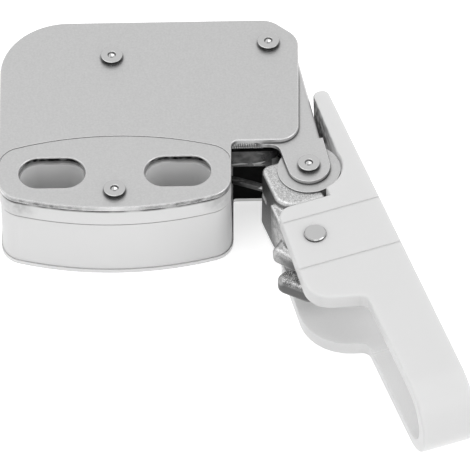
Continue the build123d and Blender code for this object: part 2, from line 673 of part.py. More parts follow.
def make_slider_pin():
    """Headed pin fixed in the slider, which the control link turns on."""
    head_top = LINK_Z - GUIDE_GAP
    shank = post(SLIDER_PIN_AT, SLIDER_PIN_R, head_top, SLIDER_TOP_Z)
    return shank + post(SLIDER_PIN_AT, LINK_END_R, head_top - YOKE_T, head_top)


def make_control_link():
    """Dark steel link from the slider to the claw, waisted between its two round ends."""
    dx = link_pin_at[0] - SLIDER_PIN_AT[0]
    dy = link_pin_at[1] - SLIDER_PIN_AT[1]
    length = math.hypot(dx, dy)
    face = Circle(LINK_END_R) + Pos(length, 0) * Circle(LINK_END_R)
    face += Rectangle(length, LINK_WAIST_W, align=(Align.MIN, Align.CENTER))
    face -= Circle(SLIDER_PIN_R + RUNNING_GAP)
    face -= Pos(length, 0) * Circle(LINK_PIN_R + LINK_SLACK)
    link = slab(face, LINK_Z, LINK_Z + LINK_T)
    turn = math.degrees(math.atan2(dy, dx))
    return Location((*SLIDER_PIN_AT, 0), (0, 0, turn)) * link


def make_guide_pin(x):
    """Shouldered pin between the plates that carries and guides the slider."""
    at = (x, GUIDE_Y)
    shoulder = post(at, GUIDE_SHOULDER_R, PLATE_T, SLIDER_Z - GUIDE_GAP)
    return shoulder + post(at, GUIDE_R, SLIDER_Z - GUIDE_GAP, TOP_Z)


def make_pawl_post():
    """Shouldered post that the pawl turns on."""
    shoulder = post(PAWL_POST_AT, GUIDE_SHOULDER_R, PLATE_T, SLIDER_TOP_Z + PAWL_LIFT - SIDE_GAP)
    return shoulder + post(PAWL_POST_AT, GUIDE_R, SLIDER_TOP_Z + PAWL_LIFT - SIDE_GAP, TOP_Z)


def make_latch_pawl():
    """Flat pawl that reaches over the cam track."""
    start = PAWL_POST_AT
    face = hull_of((*start, PAWL_W), (start[0] + PAWL_LENGTH, start[1], PAWL_W / 2))
    face -= Pos(*start) * Circle(GUIDE_R + RUNNING_GAP)
    face -= Pos(start[0] + PAWL_LENGTH, start[1]) * Circle(FOLLOWER_R + HOLE_GAP)
    low = SLIDER_TOP_Z + PAWL_LIFT
    return slab(face, low, low + PAWL_T)


def make_pawl_follower():
    """Thin steel follower fixed in the pawl, with its end down in the cam track."""
    at = (PAWL_POST_AT[0] + PAWL_LENGTH, PAWL_POST_AT[1])
    return post(at, FOLLOWER_R, SLIDER_TOP_Z - TRACK_DEPTH + GUIDE_GAP, SLIDER_TOP_Z + PAWL_LIFT + PAWL_T)


def make_travel_stop_pin():
    """Pin between the plates that the yoke's curved slots run against at both ends."""
    return post(stop_pin_at, STOP_PIN_R, PLATE_T, TOP_Z)


# ---------------------------------------------------------------- springs
def make_return_spring():
    """Close-wound tension spring from the slider to the yoke's lug, drawn as its outer tube."""
    left = SLIDER_LEFT + SPRING_HOLE_INSET
    right = LUG_AT[0]
    body_left = left + RETURN_LEG
    body_right = right - RETURN_LEG
    side_on = Plane((body_left, LUG_AT[1], RETURN_Z), x_dir=(0, 1, 0), z_dir=(1, 0, 0))
    end_side = Plane((body_right, LUG_AT[1], RETURN_Z), x_dir=(0, 1, 0), z_dir=(-1, 0, 0))
    ring = Circle(RETURN_R) - Circle(RETURN_R - RETURN_WIRE)
    coil = extrude(side_on * ring, body_right - body_left)
    coil += extrude(side_on * Circle(RETURN_R), RETURN_WIRE)
    coil += extrude(end_side * Circle(RETURN_R), RETURN_WIRE)
    wire_r = RETURN_WIRE / 2
    left_bar = Pos(left - wire_r, LUG_AT[1], RETURN_Z) * Rot(0, 90, 0) * Cylinder(
        wire_r, body_left - left + RETURN_WIRE, align=(Align.CENTER, Align.CENTER, Align.MIN)
    )
    right_bar = Pos(body_right - wire_r, LUG_AT[1], RETURN_Z) * Rot(0, 90, 0) * Cylinder(
        wire_r, right - body_right + RETURN_WIRE, align=(Align.CENTER, Align.CENTER, Align.MIN)
    )
    left_hook = post((left, LUG_AT[1]), wire_r, SLIDER_Z + RETURN_WIRE, RETURN_Z + wire_r)
    right_hook = post((right, LUG_AT[1]), wire_r, RETURN_Z - wire_r, TOP_Z - RETURN_WIRE)
    return coil + left_bar + right_bar + left_hook + right_hook


# ---------------------------------------------------------------- write every piece
pieces = {
    "top_plate": make_top_plate(),
    "bottom_plate": make_bottom_plate(),
    "mounting_block": make_mounting_block(),
    "inner_frame": make_inner_frame(),
    "rear_rivet": housing_rivet(REAR_RIVET_AT),
    "front_rivet": housing_rivet(FRONT_RIVET_AT),
    "yoke_pivot": make_yoke_pivot(),
    "pivot_sleeve": make_pivot_sleeve(),
    "travel_stop_pin": make_travel_stop_pin(),
    "guide_pin_left": make_guide_pin(GUIDE_LEFT_X),
    "guide_pin_right": make_guide_pin(GUIDE_LEFT_X + GUIDE_SPAN),
    "pawl_post": make_pawl_post(),
    "yoke": make_yoke(),
    "claw_pin": make_claw_pin(),
    "upper_washer": make_washer(WASHER_HIGH_Z),
    "lower_washer": make_washer(WASHER_LOW_Z),
    "claw_casting": make_claw_casting(),
    "claw_bush": make_claw_bush(),
    "link_pin": make_link_pin(),
    "bumper_loop": make_bumper_loop(),
    "bumper_rivet": make_bumper_rivet(),
    "cam_slider": make_cam_slider(),
    "slider_pin": make_slider_pin(),
    "control_link": make_control_link(),
    "latch_pawl": make_latch_pawl(),
    "pawl_follower": make_pawl_follower(),
    "return_spring": make_return_spring(),
}
for name, solid in pieces.items():
    save(solid, name)
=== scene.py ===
# %% [markdown]
# # A push to open catch
# This catch is a riveted steel housing with a swinging yoke, a cast claw and a white bumper
# loop. A push on the loop swings the yoke home against a spring. The construction model is
# loaded first as a fixed frame, so that every piece already has its true place. What
# follows is the finer work: round rivet heads, a wound spring, a softened casting, the
# metals and mouldings, the light and the camera. Blender's unit is the metre, and MM turns
# millimetres into metres.

# %% Load the construction model
import json
import math

import bpy
import numpy as np
from mathutils import Matrix, Vector


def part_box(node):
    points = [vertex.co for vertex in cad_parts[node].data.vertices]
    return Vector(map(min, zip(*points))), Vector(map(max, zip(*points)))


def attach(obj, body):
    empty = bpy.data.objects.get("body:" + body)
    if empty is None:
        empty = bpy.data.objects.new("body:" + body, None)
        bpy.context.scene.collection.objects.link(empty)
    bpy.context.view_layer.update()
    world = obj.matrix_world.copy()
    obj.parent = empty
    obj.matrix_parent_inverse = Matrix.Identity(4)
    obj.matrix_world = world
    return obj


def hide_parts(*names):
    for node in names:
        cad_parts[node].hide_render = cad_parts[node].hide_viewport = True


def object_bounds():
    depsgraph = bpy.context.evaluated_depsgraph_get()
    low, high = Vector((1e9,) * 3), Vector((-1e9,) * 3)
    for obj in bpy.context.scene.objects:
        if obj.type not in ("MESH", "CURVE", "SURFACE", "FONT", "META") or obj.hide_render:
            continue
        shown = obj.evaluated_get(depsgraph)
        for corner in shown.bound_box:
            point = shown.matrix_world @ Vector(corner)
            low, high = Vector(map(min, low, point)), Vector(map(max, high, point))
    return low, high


MM = 0.001
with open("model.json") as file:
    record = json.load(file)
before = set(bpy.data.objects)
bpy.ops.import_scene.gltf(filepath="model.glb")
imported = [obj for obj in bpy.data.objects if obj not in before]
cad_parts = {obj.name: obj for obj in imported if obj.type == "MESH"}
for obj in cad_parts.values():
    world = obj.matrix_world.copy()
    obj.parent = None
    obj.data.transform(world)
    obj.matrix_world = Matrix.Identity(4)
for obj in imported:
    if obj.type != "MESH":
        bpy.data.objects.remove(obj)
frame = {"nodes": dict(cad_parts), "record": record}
cad_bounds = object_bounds()
print("size in mm:", ((np.array(cad_bounds[1]) - np.array(cad_bounds[0])) / MM).round(1))


# %% Measure one node
def corners(node):
    """Lowest and highest corner of one construction node, as two arrays."""
    low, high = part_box(node)
    return np.array(low), np.array(high)


pin_low, pin_high = corners("claw_pin")
print("claw pin in mm: from", (pin_low / MM).round(2), "to", (pin_high / MM).round(2))

# %% [markdown]
# ## Surfaces from arrays
# Turned heads and bent wire are easy to say as formulas, so they aren't modelled by hand.
# Each is a grid of points: one parameter runs along a path or a profile and the other runs
# round it. The grid becomes a mesh that is closed round the ring and capped at both ends,
# so that no piece has an open edge. The faces point outwards when the profile runs upwards
# and the ring runs the way a clock does not.

# %% Turn a grid of points into a closed mesh
def grid_mesh(name, grid):
    """Mesh from a grid (rows, ring, 3). Each row is a closed ring, and both end rows are
    capped with one face, so quad k joins ring point k and k + 1 of two neighbouring rows."""
    rows, ring = grid.shape[:2]
    index = np.arange(rows * ring).reshape(rows, ring)
    turn = np.roll(index, -1, axis=1)
    quads = np.stack([index[:-1], turn[:-1], turn[1:], index[1:]], axis=-1).reshape(-1, 4)
    caps = [index[0][::-1].tolist(), index[-1].tolist()]
    mesh = bpy.data.meshes.new(name)
    mesh.from_pydata(grid.reshape(-1, 3).tolist(), [], quads.tolist() + caps)
    mesh.shade_smooth()
    mesh.update()
    return mesh


# %% Add a finished mesh to the model
def add_piece(name, mesh, body, slot, *replaced):
    """Object for a finished mesh, riding on a body and standing for construction nodes."""
    piece = bpy.data.objects.new(name, mesh)
    bpy.context.scene.collection.objects.link(piece)
    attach(piece, body)
    if replaced:
        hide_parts(*replaced)
    print(name, "faces:", len(mesh.polygons))
    return piece


# %% [markdown]
# ## Rivets
# A rivet head is pressed flat by the tool that closes it: a short disc with a softly rolled
# rim and, in the middle, the dimple that the centre punch leaves. It could be a cylinder
# with bevels, but a profile turned round an axis gives the rim, the lip and the dimple in
# one smooth skin. The profile is a list of radius and height pairs, and the surface puts
# each pair at every angle round the axis.

# %% Turn a profile round a vertical axis
def turned(profile, centre, segments=64):
    """Grid with x = centre x + r cos(angle), y = centre y + r sin(angle) and z = height."""
    radius, height = np.asarray(profile, float).T
    angle = np.linspace(0, 2 * np.pi, segments, endpoint=False)
    x = centre[0] + np.outer(radius, np.cos(angle))
    y = centre[1] + np.outer(radius, np.sin(angle))
    z = np.repeat(height[:, None], segments, axis=1)
    return np.stack([x, y, z], axis=-1)


# %% Roll the rim of the head
RIVET_HEAD_R = 2.2 * MM
RIM_ROLL = 0.16 * MM
RIM_STEPS = 10


def rolled_rim(top):
    """Quarter circle from the side to the top: r = head_r - roll (1 - cos t) and
    z = top - roll (1 - sin t)."""
    t = np.linspace(0, np.pi / 2, RIM_STEPS)
    r = RIVET_HEAD_R - RIM_ROLL * (1 - np.cos(t))
    return list(zip(r, top - RIM_ROLL * (1 - np.sin(t))))


# %% Punch the dimple
DIMPLE_R = 0.85 * MM
DIMPLE_DEPTH = 0.6 * MM
DIMPLE_WALL = 0.22 * MM
DIMPLE_STEPS = 36
WALL_SHARE = 0.55
LIP_W = 0.14 * MM
LIP_DEPTH = 0.05 * MM
POLE_R = 0.02 * MM


def punched_dimple(top):
    """Fall below the top: a steep wall takes WALL_SHARE of the depth and a cone that runs to
    the axis takes the rest, and a raised cosine rounds the lip."""
    r = np.linspace(DIMPLE_R + LIP_W, POLE_R, DIMPLE_STEPS)
    wall = np.clip((DIMPLE_R - r) / DIMPLE_WALL, 0, 1)
    cone = np.clip((DIMPLE_R - r) / DIMPLE_R, 0, None)
    lip = np.clip((DIMPLE_R + LIP_W - r) / (2 * LIP_W), 0, 1)
    fall = WALL_SHARE * wall + (1 - WALL_SHARE) * cone
    return list(zip(r, top - DIMPLE_DEPTH * fall - LIP_DEPTH * (1 - np.cos(np.pi * lip)) / 2))


print("dimple's floor below the head in mm:", round(-punched_dimple(0.0)[-1][1] / MM, 2))

# %% Draw a rivet's whole profile
RIVET_SHANK_R = 1.5 * MM
RIVET_HEAD_T = 1.0 * MM
CRISP = 0.04 * MM


def rivet_profile(low, top):
    """Pairs up the shank, out under the head, up its side, round the rim and into the
    dimple. Rows close to a corner, CRISP away, keep smooth shading from washing over it."""
    seat = top - RIVET_HEAD_T
    shank = [(POLE_R, low), (RIVET_SHANK_R, low), (RIVET_SHANK_R, seat), (RIVET_HEAD_R, seat)]
    side = [(RIVET_HEAD_R, seat + CRISP), (RIVET_HEAD_R, top - RIM_ROLL - CRISP)]
    return shank + side + rolled_rim(top) + punched_dimple(top)


print("rows in a rivet's profile:", len(rivet_profile(-2 * RIVET_HEAD_T, 0.0)))

# %% Make the four dimpled rivets
RIVET_BODIES = {
    "rear_rivet": "housing",
    "front_rivet": "housing",
    "yoke_pivot": "housing",
    "claw_pin": "yoke",
}

rivets = []
for node, body in RIVET_BODIES.items():
    low, high = corners(node)
    profile = rivet_profile(low[2], high[2])
    mesh = grid_mesh(node + "_turned", turned(profile, (low + high) / 2))
    rivets.append(add_piece(node + "_turned", mesh, body, "rivet_steel", node))

# %% [markdown]
# ## The return spring
# Deep in the recess a close-wound tension spring shows as a row of bright turns. A circle
# carried along a helix gives the wire, and the helix runs along X from a hook in the slider.
# At the other end a separate eye hangs in the yoke's lug, with a straight shank that slips
# into the coil. One stretching spring would be truer, but a rigid piece can't stretch. Two
# pieces let the shank slide and tilt as the yoke swings, so that neither end leaves its hole.

# %% Carry a round wire along a path
OFF_AXIS = np.array([0.31, 0.17, 0.93])


def wire_grid(path, radius, sides=8):
    """Ring of points round each path point, in the plane of two vectors that are square to
    the path: point = path + radius (cos(a) normal + sin(a) binormal). The normal is square
    to OFF_AXIS too, a direction that no stretch of the path runs along."""
    tangent = np.gradient(path, axis=0)
    tangent /= np.linalg.norm(tangent, axis=1, keepdims=True)
    normal = np.cross(tangent, OFF_AXIS)
    normal /= np.linalg.norm(normal, axis=1, keepdims=True)
    binormal = np.cross(tangent, normal)
    angle = np.linspace(0, 2 * np.pi, sides, endpoint=False)[None, :, None]
    ring = np.cos(angle) * normal[:, None] + np.sin(angle) * binormal[:, None]
    return path[:, None] + radius * ring


# %% Measure the room for the coil
SPRING_WIRE = 0.45 * MM
SPRING_LEG = 1.0 * MM
COIL_CLEARANCE = 0.05 * MM

spring_low, spring_high = corners("return_spring")
slider_top = corners("cam_slider")[1][2]
coil_start = spring_low[0] + SPRING_LEG + SPRING_WIRE / 2
coil_end = spring_high[0] - SPRING_LEG - SPRING_WIRE / 2
coil_r = (spring_high[1] - spring_low[1]) / 2 - SPRING_WIRE / 2
coil_y = (spring_high[1] + spring_low[1]) / 2
coil_z = slider_top + COIL_CLEARANCE + coil_r + SPRING_WIRE / 2
print("coil in mm: length", round((coil_end - coil_start) / MM, 2), "radius", round(coil_r / MM, 2))

# %% Wind the return spring
TURN_STEPS = 14
TURN_PITCH = 1.03 * SPRING_WIRE

turns = (coil_end - coil_start) / TURN_PITCH
steps = int(turns * TURN_STEPS)
angle = np.linspace(0, 2 * np.pi * turns, steps)
along = np.linspace(coil_start, coil_end, steps)
helix = np.stack([along, coil_y + coil_r * np.sin(angle), coil_z - coil_r * np.cos(angle)], axis=-1)
hook_x = spring_low[0] + SPRING_WIRE / 2
hook = np.array([[hook_x, coil_y, spring_low[2]], [hook_x, coil_y, coil_z - coil_r]])
coil = grid_mesh("wound_return_spring", wire_grid(np.vstack([hook, helix]), SPRING_WIRE / 2))
return_spring = add_piece("wound_return_spring", coil, "slider", "spring_steel", "return_spring")
print("turns:", round(turns, 1))

# %% Bend the eye that hangs in the yoke's lug
EYE_BEND_R = 0.7 * MM
EYE_BEND_STEPS = 8
SHANK_IN_COIL = 3.0 * MM

eye_x = spring_high[0] - SPRING_WIRE / 2
shank_x = (coil_end - SHANK_IN_COIL, eye_x - EYE_BEND_R - SPRING_WIRE)
shank = np.array([[x, coil_y, coil_z] for x in shank_x])
t = np.linspace(0, np.pi / 2, EYE_BEND_STEPS)
bend_x = eye_x - EYE_BEND_R * (1 - np.sin(t))
bend_z = coil_z + EYE_BEND_R * (1 - np.cos(t))
bend = np.stack([bend_x, np.full(EYE_BEND_STEPS, coil_y), bend_z], axis=-1)
tip = np.array([[eye_x, coil_y, spring_high[2] - SPRING_WIRE]])
eye = grid_mesh("return_spring_eye", wire_grid(np.vstack([shank, bend, tip]), SPRING_WIRE / 2))
spring_eye = add_piece("return_spring_eye", eye, "yoke", "spring_steel")

# %% [markdown]
# ## The cast claw
# A die casting has no sharp edge: the metal won't fill one, and tumbling wears off the rest.
# The construction model's claw has the right outline but crisp corners. Bevels would need
# clean edge loops, which its loose triangles don't have. So a copy is merged, rebuilt from
# small voxels and relaxed, which rounds every edge and every inner corner a little and
# keeps the shape. The thick neck that passes the flange's front is drawn back to it first,
# so that no corner of it looks out below the flange.

# %% Draw the neck back to the flange's front
ARM_TURN = math.radians(-70.6)
NECK_REACH = 23.2 * MM
JAW_LOW = 7.5 * MM
JAW_HIGH = 12.0 * MM


def draw_back(points):
    """Reach along the arm is a = (point - claw pin) . arm. Above and below the thin jaw it is
    held: point = point - max(a - NECK_REACH, 0) arm."""
    arm = np.array([math.cos(ARM_TURN), math.sin(ARM_TURN)])
    reach = (points[:, :2] - (pin_low + pin_high)[:2] / 2) @ arm
    neck = (points[:, 2] > JAW_HIGH) | (points[:, 2] < JAW_LOW)
    over = np.where(neck, np.clip(reach - NECK_REACH, 0, None), 0.0)
    moved = points.copy()
    moved[:, :2] -= over[:, None] * arm
    print("points drawn back:", np.count_nonzero(over), "by at most", round(over.max() / MM, 2), "mm")
    return moved


# %% Soften a copy of a node's mesh
WELD_GAP = 0.002 * MM
CAST_VOXEL = 0.22 * MM
RELAX_SHARE = 0.5
RELAX_ROUNDS = 5


def softened(node, name, shape):
    """Mesh of a node's copy: its points are moved by shape, merged and rebuilt from voxels,
    and each is moved RELAX_SHARE of the way to the middle of its neighbours in each round."""
    mesh = frame["nodes"][node].data.copy()
    points = np.empty(len(mesh.vertices) * 3)
    mesh.vertices.foreach_get("co", points)
    mesh.vertices.foreach_set("co", shape(points.reshape(-1, 3)).ravel())
    bench = bpy.data.objects.new(name + "_bench", mesh)
    bpy.context.scene.collection.objects.link(bench)
    weld = bench.modifiers.new("weld", "WELD")
    weld.merge_threshold = WELD_GAP
    rebuild = bench.modifiers.new("rebuild", "REMESH")
    rebuild.mode = "VOXEL"
    rebuild.voxel_size = CAST_VOXEL
    relax = bench.modifiers.new("relax", "SMOOTH")
    relax.factor = RELAX_SHARE
    relax.iterations = RELAX_ROUNDS
    ready = bench.evaluated_get(bpy.context.evaluated_depsgraph_get())
    soft = bpy.data.meshes.new_from_object(ready)
    soft.name = name
    soft.materials.clear()
    soft.shade_smooth()
    bpy.data.objects.remove(bench)
    print(name, "points before and after:", len(mesh.vertices), len(soft.vertices))
    return soft


# %% Make the cast claw
claw_mesh = softened("claw_casting", "cast_claw", draw_back)
cast_claw = add_piece("cast_claw", claw_mesh, "claw", "cast_zinc", "claw_casting")

# %% [markdown]
# ## Nodes in few words
# A shader is a tree of small nodes, and written out one by one they hide what they do. The
# helpers below each place one kind of node and hand back its output, so that a line of code
# reads as a line of thought. They work in a material's tree and in a node group alike.

# %% Place single nodes
VALUE = "NodeSocketFloat"
VECTOR = "NodeSocketVector"


def feed(tree, value, socket):
    """Link another node's output to a socket, or set the socket to a plain value."""
    if isinstance(value, bpy.types.NodeSocket):
        tree.links.new(value, socket)
    else:
        socket.default_value = value


def maths(tree, operation, first, second=None):
    """Value of a Math node on one or two values."""
    node = tree.nodes.new("ShaderNodeMath")
    node.operation = operation
    feed(tree, first, node.inputs[0])
    if second is not None:
        feed(tree, second, node.inputs[1])
    return node.outputs[0]


def compared(tree, operation, first, second):
    """Value of a Vector Math node that makes one number of two vectors."""
    node = tree.nodes.new("ShaderNodeVectorMath")
    node.operation = operation
    feed(tree, first, node.inputs[0])
    feed(tree, second, node.inputs[1])
    return node.outputs["Value"]


def ramp(tree, source, low, high, to_low=0.0, to_high=1.0):
    """Value that runs from to_low to to_high as the source runs from low to high."""
    spread = tree.nodes.new("ShaderNodeMapRange")
    labels = ("Value", "From Min", "From Max", "To Min", "To Max")
    for label, value in zip(labels, (source, low, high, to_low, to_high)):
        feed(tree, value, spread.inputs[label])
    return spread.outputs["Result"]


# %% Read the surface and lay noise on it
def surface(tree, reading):
    """The object's own point, named Object, or the face's own direction, named Normal."""
    return tree.nodes.new("ShaderNodeTexCoord").outputs[reading]


def axis(tree, vector, letter):
    """One coordinate of a vector."""
    parts = tree.nodes.new("ShaderNodeSeparateXYZ")
    tree.links.new(vector, parts.inputs[0])
    return parts.outputs[letter]


def stretched_place(tree, stretch):
    """Object point with its X multiplied by stretch: under 1, patterns grow long along X."""
    factors = tree.nodes.new("ShaderNodeCombineXYZ")
    factors.inputs["Y"].default_value = 1.0
    factors.inputs["Z"].default_value = 1.0
    feed(tree, stretch, factors.inputs["X"])
    scaled = tree.nodes.new("ShaderNodeVectorMath")
    scaled.operation = "MULTIPLY"
    feed(tree, surface(tree, "Object"), scaled.inputs[0])
    feed(tree, factors.outputs[0], scaled.inputs[1])
    return scaled.outputs[0]


def noise(tree, point, scale, detail=2.0, roughness=0.5):
    """Cloudy noise at a point, mostly between 0.3 and 0.7. Scale is in features per metre."""
    cloud = tree.nodes.new("ShaderNodeTexNoise")
    cloud.inputs["Detail"].default_value = detail
    cloud.inputs["Roughness"].default_value = roughness
    feed(tree, point, cloud.inputs["Vector"])
    feed(tree, scale, cloud.inputs["Scale"])
    return cloud.outputs["Fac"]


# %% [markdown]
# ## Shared effects
# The same marks come back on many of the pieces: grain, mottle and dull sheared edges, and
# painted shade in gaps and in the recess, painted glints and painted highlights on rims. Each
# effect could be copied into every material, but a change would then have to be made many
# times. So each is a node group with named inputs and outputs, built once and placed with its
# own values. A group gives a mask of 0 to 1, a value or a normal, and the material decides what
# that changes.

# %% Start a group with named inputs and outputs
def new_group(name, inputs, output, *more_outputs, kind=VALUE):
    """Node group whose inputs are names with a value to start from: a number or a vector.
    Returns the group, the inputs it is given and the outputs that it makes."""
    group = bpy.data.node_groups.new(name, "ShaderNodeTree")
    for label, value in inputs.items():
        given_kind = VALUE if isinstance(value, float) else VECTOR
        socket = group.interface.new_socket(label, in_out="INPUT", socket_type=given_kind)
        socket.default_value = value
    for label in (output, *more_outputs):
        group.interface.new_socket(label, in_out="OUTPUT", socket_type=kind)
    given = group.nodes.new("NodeGroupInput").outputs
    made = group.nodes.new("NodeGroupOutput").inputs
    print("group", name, "takes", list(inputs), "and gives", [output, *more_outputs])
    return group, given, made


# %% [markdown]
# ### Grain
# Rolled sheet has faint lines along the way it was rolled, and a casting is sandy. Both are
# far too fine to model, so noise bends the light instead, through a Bump node. A Bevel node
# under it shades every sharp edge as if a file had broken it. Real bevels would be truer on
# big edges, but these are a third of a millimetre at most.

# %% Build the grain
GRAIN_BUMP = 0.05 * MM
BEVEL_SAMPLES = 6


def bevelled(tree, radius):
    """Normal of the surface as if its edges were rounded by a radius."""
    bevel = tree.nodes.new("ShaderNodeBevel")
    bevel.samples = BEVEL_SAMPLES
    feed(tree, radius, bevel.inputs["Radius"])
    return bevel.outputs["Normal"]


grain_group, given, made = new_group(
    "surface_grain",
    {"Scale": 1000.0, "Stretch": 1.0, "Height": 0.2, "Edge": 0.2 * MM},
    "Normal",
    kind=VECTOR,
)
point = stretched_place(grain_group, given["Stretch"])
grain = noise(grain_group, point, given["Scale"], detail=4.0, roughness=0.65)
bump = grain_group.nodes.new("ShaderNodeBump")
bump.inputs["Distance"].default_value = GRAIN_BUMP
feed(grain_group, given["Height"], bump.inputs["Strength"])
feed(grain_group, grain, bump.inputs["Height"])
feed(grain_group, bevelled(grain_group, given["Edge"]), bump.inputs["Normal"])
feed(grain_group, bump.outputs["Normal"], made["Normal"])

# %% [markdown]
# ### Mottle
# No real surface has one even shade. Slow noise moves a value between two limits, and the
# materials use it twice: once for the shade and once for the gloss.

# %% Build the mottle
CLOUD = (0.3, 0.7)  # the noise, where the value is Low and where it is High

mottle_group, given, made = new_group("slow_mottle", {"Scale": 60.0, "Low": 0.3, "High": 0.4}, "Value")
cloud = noise(mottle_group, surface(mottle_group, "Object"), given["Scale"], detail=5.0)
feed(mottle_group, ramp(mottle_group, cloud, *CLOUD, given["Low"], given["High"]), made["Value"])

# %% [markdown]
# ### Faces that look one way
# A sheared edge is duller than the faces that lie flat. The sides of the casting and of the
# rivet heads get painted shade, and so do the base's upward faces in the recess. The face's
# own direction tells them apart: its Z is near 0 on an upright face and near 1 on an upward
# one, and its share along any other direction finds the faces on that side.

# %% Find upright faces
UPRIGHT = (0.85, 0.25)  # steepness of the face's direction, where the mask is 0 and 1

upright_group, given, made = new_group("upright_faces", {}, "Mask")
rise = maths(upright_group, "ABSOLUTE", axis(upright_group, surface(upright_group, "Normal"), "Z"))
feed(upright_group, ramp(upright_group, rise, *UPRIGHT), made["Mask"])

# %% Find faces that look up, past a starting X
UPWARD = (0.8, 0.95)  # Z of the face's direction, where the mask is 0 and 1

upward_group, given, made = new_group("upward_faces", {"Start": -1.0}, "Mask")
flat = ramp(upward_group, axis(upward_group, surface(upward_group, "Normal"), "Z"), *UPWARD)
along_x = axis(upward_group, surface(upward_group, "Object"), "X")
past_start = maths(upward_group, "GREATER_THAN", along_x, given["Start"])
feed(upward_group, maths(upward_group, "MULTIPLY", past_start, flat), made["Mask"])

# %% Find faces on one side
ONE_SIDED = (0.6, 0.85)  # share along the direction, where the mask is 0 and 1

facing_group, given, made = new_group("facing_side", {"Direction": (0.0, 0.0, 0.0)}, "Mask")
share = compared(facing_group, "DOT_PRODUCT", surface(facing_group, "Normal"), given["Direction"])
feed(facing_group, ramp(facing_group, share, *ONE_SIDED), made["Mask"])

# %% [markdown]
# ### Deep places and edges
# Light hardly comes into a gap, so shade is painted there. Ambient occlusion measures how
# much of the sky a point sees within a reach, and the same mask also places a painted
# highlight in the rivets' dimples and a painted glow in the loop's hollows. Edges that stand
# out catch the light, so a highlight is painted on them. A sharp one shows where the bevelled
# normal turns away from the true one, and a rounded one where the mesh itself stands out from
# the points round it, which Blender calls pointiness.

# %% Find deep places
SKY_SAMPLES = 8

deep_group, given, made = new_group("deep_places", {"Reach": 12 * MM, "Open": 0.6, "Shut": 0.2}, "Mask")
sky_seen = deep_group.nodes.new("ShaderNodeAmbientOcclusion")
sky_seen.samples = SKY_SAMPLES
feed(deep_group, given["Reach"], sky_seen.inputs["Distance"])
feed(deep_group, ramp(deep_group, sky_seen.outputs["AO"], given["Open"], given["Shut"]), made["Mask"])

# %% Find outer edges
SHARP = (0.99, 0.85)  # agreement of the two normals, where the mask is 0 and 1
ROUND = (0.51, 0.55)  # pointiness, where the mask is 0 and 1. A flat face has 0.5

edge_group, given, made = new_group("outer_edges", {"Radius": 0.2 * MM}, "Sharp", "Round")
shape = edge_group.nodes.new("ShaderNodeNewGeometry").outputs
same = compared(edge_group, "DOT_PRODUCT", bevelled(edge_group, given["Radius"]), shape["True Normal"])
feed(edge_group, ramp(edge_group, same, *SHARP), made["Sharp"])
feed(edge_group, ramp(edge_group, shape["Pointiness"], *ROUND), made["Round"])

# %% [markdown]
# ### Specks, smudges and shadow lines
# A casting glitters where its grains catch the light, and that glitter is painted: the few
# cells of a Voronoi pattern that draw a high number. A smudge is a soft ball round one point,
# torn by noise. A painted shadow line is a thin dark line at one height, broken up in the same
# way. Pictures could do all three, but these need no picture and stay sharp from close by.

# %% Build the specks
speck_group, given, made = new_group(
    "bright_specks", {"Scale": 2500.0, "Stretch": 1.0, "Rarity": 0.8}, "Mask"
)
cells = speck_group.nodes.new("ShaderNodeTexVoronoi")
feed(speck_group, stretched_place(speck_group, given["Stretch"]), cells.inputs["Vector"])
feed(speck_group, given["Scale"], cells.inputs["Scale"])
drawn = speck_group.nodes.new("ShaderNodeSeparateColor")
feed(speck_group, cells.outputs["Color"], drawn.inputs["Color"])
feed(speck_group, ramp(speck_group, drawn.outputs["Red"], given["Rarity"], 1.0), made["Mask"])

# %% Build the smudge: 1.6 (1 - distance / radius), torn and held at 1
SMUDGE_CORE = 1.6
SMUDGE_TEARS = 700.0
TEAR = (0.35, 0.6, 0.45, 1.0)  # noise from and to, and what is left of the smudge there

spot_group, given, made = new_group("soft_spot", {"Radius": 2 * MM, "Centre": (0.0, 0.0, 0.0)}, "Mask")
away = compared(spot_group, "DISTANCE", surface(spot_group, "Object"), given["Centre"])
near = ramp(spot_group, away, given["Radius"], 0.0, 0.0, SMUDGE_CORE)
cloud = noise(spot_group, surface(spot_group, "Object"), SMUDGE_TEARS)
torn = maths(spot_group, "MULTIPLY", near, ramp(spot_group, cloud, *TEAR))
torn.node.use_clamp = True
feed(spot_group, torn, made["Mask"])

# %% Build the painted shadow line: 1 - |z - height| / width, broken by noise
# Painted shadow: a thin dark line at one height, broken into pieces by noise.
SHADOW_LINE_BREAKS = 260.0
BREAK = (0.3, 0.55, 0.35, 1.0)  # noise from and to, and what is left of the seam there

shadow_line_group, given, made = new_group("painted_shadow_line", {"Height": 18.5 * MM, "Width": 0.4 * MM}, "Mask")
height = axis(shadow_line_group, surface(shadow_line_group, "Object"), "Z")
above = maths(shadow_line_group, "SUBTRACT", height, given["Height"])
near = ramp(shadow_line_group, maths(shadow_line_group, "ABSOLUTE", above), given["Width"], 0.0)
cloud = noise(shadow_line_group, surface(shadow_line_group, "Object"), SHADOW_LINE_BREAKS)
broken = maths(shadow_line_group, "MULTIPLY", near, ramp(shadow_line_group, cloud, *BREAK))
feed(shadow_line_group, broken, made["Mask"])

# %% [markdown]
# ## Steps of a finish
# Every finish here is built in the same way. It starts from a mottled shade of grey, a
# number and not yet a colour. Each step then moves that number towards another where a
# mask says so, as a painter lays one glaze over the last, so their order matters. At the
# end the number becomes the base colour, and gloss and grain are added.

# %% Begin a finish and place effects in it
def new_finish(name, metal=0.0):
    """Material whose shader has its metalness set."""
    material = bpy.data.materials.new(name)
    material.use_nodes = True
    material.node_tree.nodes["Principled BSDF"].inputs["Metallic"].default_value = metal
    return material


def placed(material, group, **values):
    """Outputs of one group in a material, with its inputs set."""
    node = material.node_tree.nodes.new("ShaderNodeGroup")
    node.node_tree = group
    for label, value in values.items():
        node.inputs[label.capitalize()].default_value = value
    return node.outputs


def mottled(material, shade, spread, patch):
    """Shade that wanders by spread either way, in patches of about 1 / patch metres."""
    return placed(material, mottle_group, scale=patch, low=shade - spread, high=shade + spread)["Value"]


